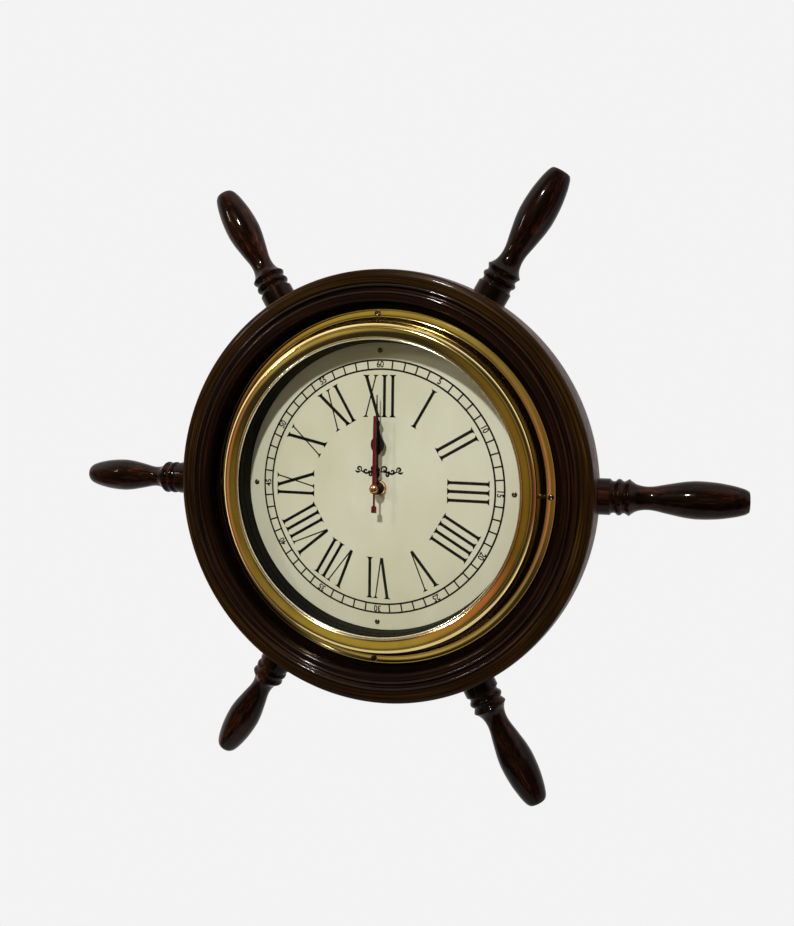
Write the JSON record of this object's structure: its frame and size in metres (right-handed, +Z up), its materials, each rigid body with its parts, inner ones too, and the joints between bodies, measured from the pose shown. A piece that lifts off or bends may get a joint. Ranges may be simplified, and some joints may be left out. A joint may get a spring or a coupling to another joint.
{
  "type": "ship wheel wall clock",
  "caption": "Wall clock in the shape of a ship's wheel: turned wooden ring with spindle handles, brass bezel with glass, Roman dial and a quartz movement with three hands.",
  "frame": {"origin": "the place of the wall nail's axis in the hanger's slot, in the wall plane, straight above the hands' axis", "axes": "+X to the right seen from the front, +Y into the wall, +Z up"},
  "size_m": [0.6094, 0.0578, 0.5354],
  "materials": {
    "ring_wood": "dark walnut stain under gloss lacquer",
    "handle_wood": "red-brown stain under gloss lacquer",
    "brass": "polished and lacquered",
    "dark_screws": "blackened",
    "glass": "clear, polished",
    "black_paint": "matt black paint on fibreboard",
    "black_plastic": "fine matt",
    "dial": "ivory satin with black print",
    "steel": "zinc plated",
    "nylon": "natural nylon",
    "rubber": "matt",
    "winding": "enamelled copper wire",
    "board_green": "solder resist",
    "cell": "printed sleeve, plain",
    "black_hands": "satin black",
    "red_hand": "glossy dark red",
    "copper_cap": "polished"
  },
  "bodies": {
    "clock": {"ring_front_layer": "ring_wood", "ring_back_layer": "ring_wood", "handle_1": "handle_wood", "handle_2": "handle_wood", "handle_3": "handle_wood", "handle_4": "handle_wood", "handle_5": "handle_wood", "handle_6": "handle_wood", "bezel": "brass", "bezel_screw_1": "dark_screws", "bezel_screw_2": "dark_screws", "bezel_screw_3": "dark_screws", "bezel_screw_4": "dark_screws", "glass": "glass", "spacer_ring": "black_plastic", "dial_plate": "dial", "dial_screw_1": "dark_screws", "dial_screw_2": "dark_screws", "dial_screw_3": "dark_screws", "dial_screw_4": "dark_screws", "dial_board": "black_paint", "board_screw_1": "steel", "board_screw_2": "steel", "board_screw_3": "steel", "board_screw_4": "steel", "movement_front_case": "black_plastic", "movement_rear_case": "black_plastic", "middle_plate": "nylon", "threaded_post": "brass", "rubber_washer": "rubber", "nut_washer": "brass", "dial_nut": "brass", "coil": "winding", "coil_core": "steel", "stator": "steel", "circuit_board": "board_green", "battery": "cell", "contact_plus": "steel", "contact_minus": "steel", "hanger_plate": "steel", "hanger_screw_1": "steel", "hanger_screw_2": "steel"},
    "hour": {"hour_wheel": "nylon", "hour_hand": "black_hands"},
    "minute": {"minute_wheel": "nylon", "minute_hand": "black_hands"},
    "seconds": {"second_wheel": "nylon", "second_hand": "red_hand", "hand_cap": "copper_cap"},
    "setting": {"reduction_wheel": "nylon", "setting_knob": "black_plastic"},
    "third": {"third_wheel": "nylon"},
    "idler": {"idler_wheel": "nylon"},
    "rotor": {"rotor": "steel"}
  },
  "joints": [
    {"name": "seconds_turn", "type": "hinge", "parent": "clock", "child": "seconds", "pos_m": [0, 0, -0.168], "axis": [0, 1, 0], "continuous": true},
    {"name": "minute_turn", "type": "hinge", "parent": "clock", "child": "minute", "pos_m": [0, 0, -0.168], "axis": [0, 1, 0], "continuous": true},
    {"name": "hour_turn", "type": "hinge", "parent": "clock", "child": "hour", "pos_m": [0, 0, -0.168], "axis": [0, 1, 0], "continuous": true},
    {"name": "setting_turn", "type": "hinge", "parent": "clock", "child": "setting", "pos_m": [0.00707, 0, -0.16093], "axis": [0, 1, 0], "continuous": true},
    {"name": "third_turn", "type": "hinge", "parent": "clock", "child": "third", "pos_m": [-0.0081, 0, -0.168], "axis": [0, 1, 0], "continuous": true},
    {"name": "idler_turn", "type": "hinge", "parent": "clock", "child": "idler", "pos_m": [0.00789, 0, -0.17087], "axis": [0, 1, 0], "continuous": true},
    {"name": "rotor_turn", "type": "hinge", "parent": "clock", "child": "rotor", "pos_m": [0.01498, 0, -0.16962], "axis": [0, 1, 0], "continuous": true}
  ],
  "couplings": [
    {"joint": "minute_turn", "follows": "seconds_turn", "ratio": 0.016667},
    {"joint": "hour_turn", "follows": "seconds_turn", "ratio": 0.0013889},
    {"joint": "setting_turn", "follows": "seconds_turn", "ratio": -0.0055556},
    {"joint": "third_turn", "follows": "seconds_turn", "ratio": -0.13333},
    {"joint": "idler_turn", "follows": "seconds_turn", "ratio": -6},
    {"joint": "rotor_turn", "follows": "seconds_turn", "ratio": 30}
  ]
}
